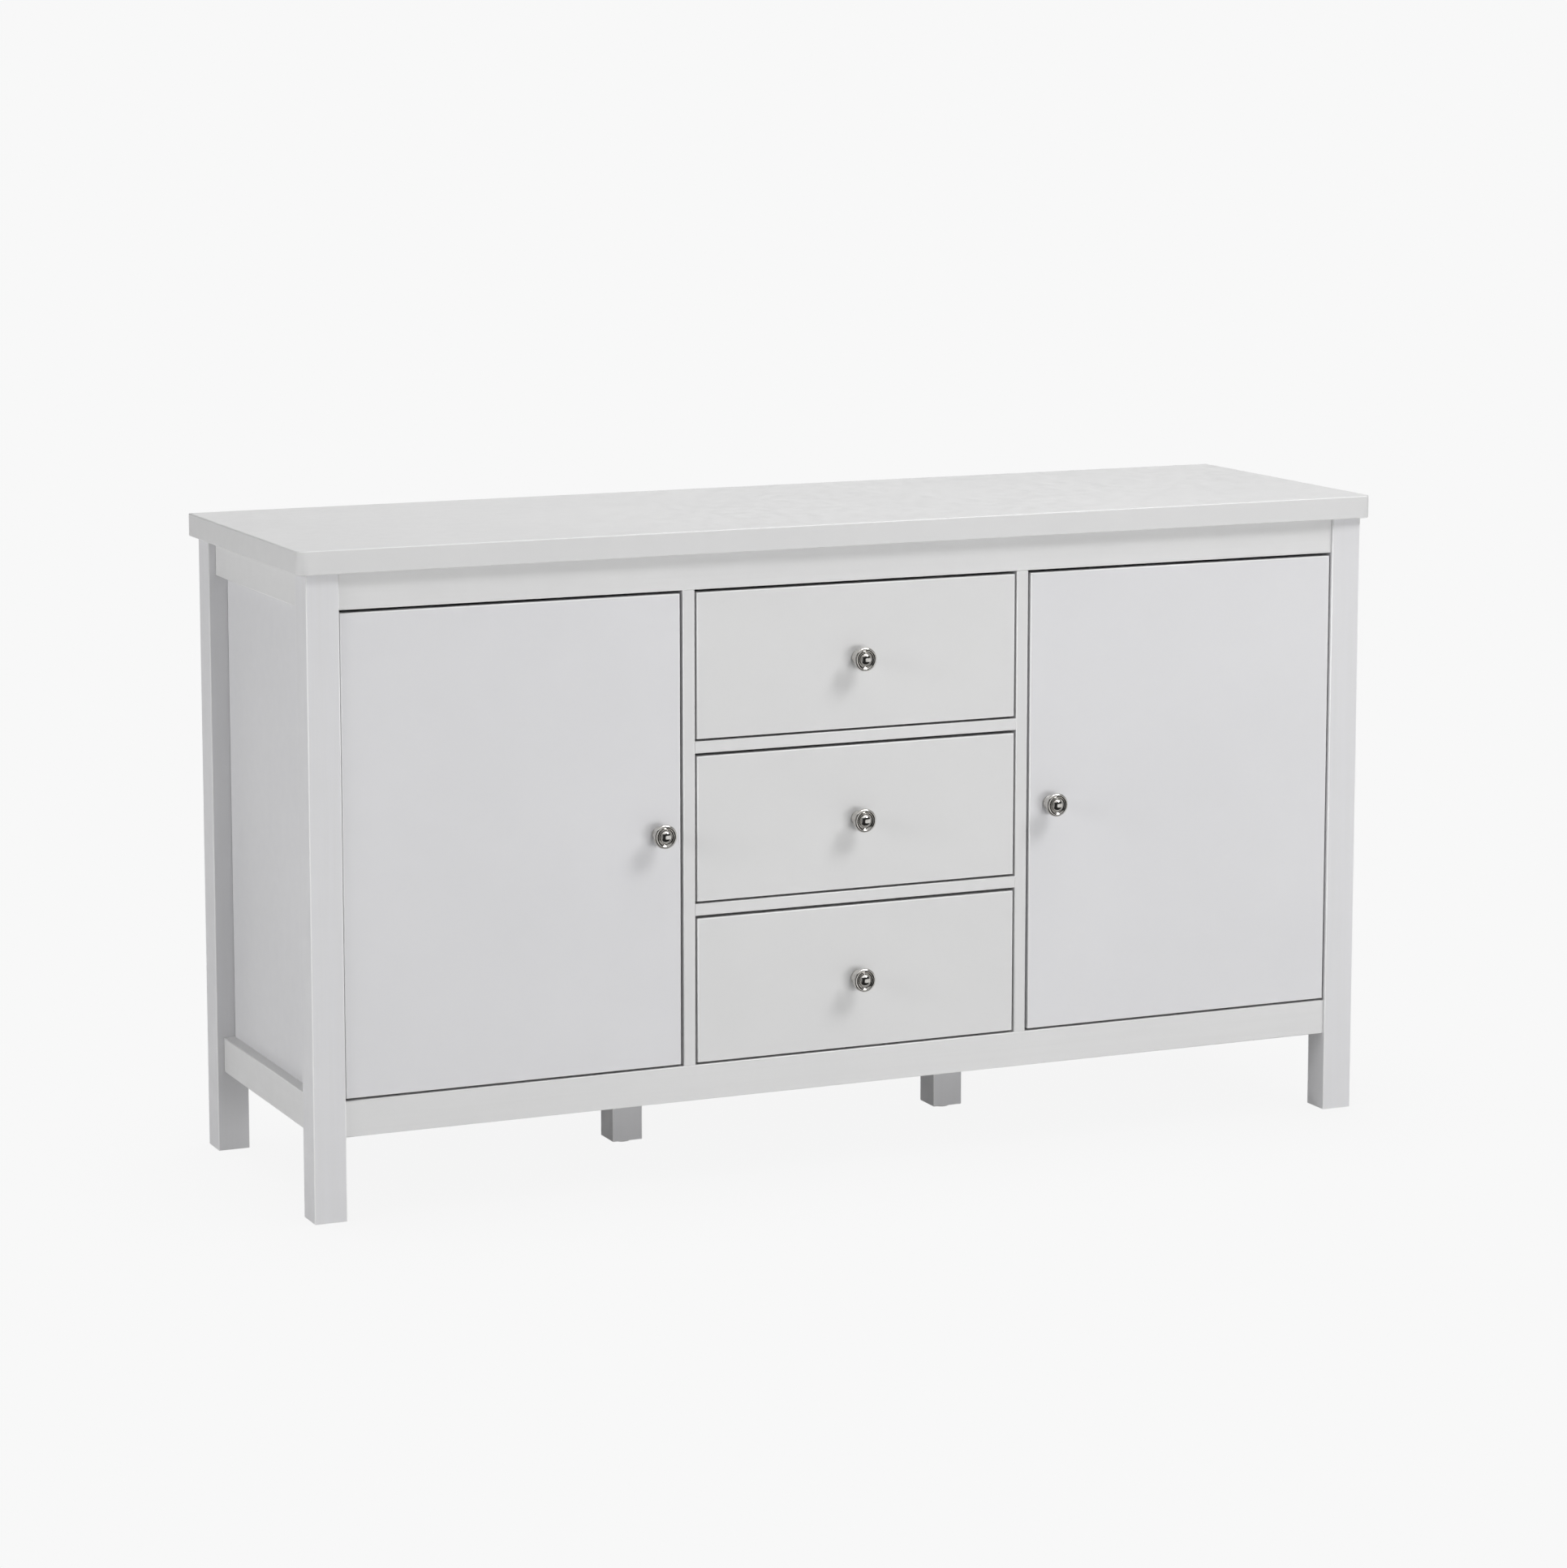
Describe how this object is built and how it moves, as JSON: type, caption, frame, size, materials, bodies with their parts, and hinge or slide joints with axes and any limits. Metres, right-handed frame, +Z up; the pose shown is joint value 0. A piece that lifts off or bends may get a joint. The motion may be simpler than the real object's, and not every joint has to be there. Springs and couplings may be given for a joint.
{
  "type": "sideboard buffet",
  "caption": "Free-standing sideboard on square legs: hinged cupboard doors at both ends, drawers between them, a flat overhanging top.",
  "frame": {"origin": "on the floor, at the centre of the whole outline, knobs included", "axes": "+Z up, +X to the right as seen from the front, the front faces -Y"},
  "size_m": [1.57, 0.485, 0.875],
  "materials": {
    "white_paint": "satin white paint",
    "inner_board": "white foil",
    "back_board": "matt fibreboard",
    "nickel": "polished nickel",
    "steel": "zinc plated",
    "runner_plastic": "matt"
  },
  "bodies": {
    "carcass": {"back_panel": "back_board", "back_rail_bottom": "white_paint", "bottom_panel": "inner_board", "drawer_rail_lower": "white_paint", "drawer_rail_upper": "white_paint", "front_rail_bottom": "white_paint", "front_rail_top": "white_paint", "hinge_arm_left_lower": "steel", "hinge_arm_left_upper": "steel", "hinge_arm_right_lower": "steel", "hinge_arm_right_upper": "steel", "leg_back_left": "white_paint", "leg_back_right": "white_paint", "leg_front_left": "white_paint", "leg_front_right": "white_paint", "leg_middle_left": "white_paint", "leg_middle_right": "white_paint", "partition_left": "white_paint", "partition_right": "white_paint", "runner_bottom_left": "runner_plastic", "runner_bottom_right": "runner_plastic", "runner_middle_left": "runner_plastic", "runner_middle_right": "runner_plastic", "runner_top_left": "runner_plastic", "runner_top_right": "runner_plastic", "shelf_left": "inner_board", "shelf_right": "inner_board", "side_panel_left": "white_paint", "side_panel_right": "white_paint", "side_rail_bottom_left": "white_paint", "side_rail_bottom_right": "white_paint", "side_rail_top_left": "white_paint", "side_rail_top_right": "white_paint", "top_panel": "white_paint"},
    "door_left": {"door_left_cup_lower": "steel", "door_left_cup_upper": "steel", "door_left_knob": "nickel", "door_left_panel": "white_paint"},
    "door_right": {"door_right_cup_lower": "steel", "door_right_cup_upper": "steel", "door_right_knob": "nickel", "door_right_panel": "white_paint"},
    "drawer_top": {"drawer_top_back": "inner_board", "drawer_top_bottom": "inner_board", "drawer_top_front": "white_paint", "drawer_top_knob": "nickel", "drawer_top_side_left": "inner_board", "drawer_top_side_right": "inner_board"},
    "drawer_middle": {"drawer_middle_back": "inner_board", "drawer_middle_bottom": "inner_board", "drawer_middle_front": "white_paint", "drawer_middle_knob": "nickel", "drawer_middle_side_left": "inner_board", "drawer_middle_side_right": "inner_board"},
    "drawer_bottom": {"drawer_bottom_back": "inner_board", "drawer_bottom_bottom": "inner_board", "drawer_bottom_front": "white_paint", "drawer_bottom_knob": "nickel", "drawer_bottom_side_left": "inner_board", "drawer_bottom_side_right": "inner_board"}
  },
  "joints": [
    {"name": "door_left_hinge", "type": "hinge", "parent": "carcass", "child": "door_left", "pos_m": [-0.726, -0.2135, 0.4765], "axis": [0, 0, -1], "range_deg": [0, 105]},
    {"name": "door_right_hinge", "type": "hinge", "parent": "carcass", "child": "door_right", "pos_m": [0.726, -0.2135, 0.4765], "axis": [0, 0, 1], "range_deg": [0, 105]},
    {"name": "drawer_top_slide", "type": "slide", "parent": "carcass", "child": "drawer_top", "axis": [0, -1, 0], "range_m": [0, 0.3]},
    {"name": "drawer_middle_slide", "type": "slide", "parent": "carcass", "child": "drawer_middle", "axis": [0, -1, 0], "range_m": [0, 0.3]},
    {"name": "drawer_bottom_slide", "type": "slide", "parent": "carcass", "child": "drawer_bottom", "axis": [0, -1, 0], "range_m": [0, 0.3]}
  ]
}
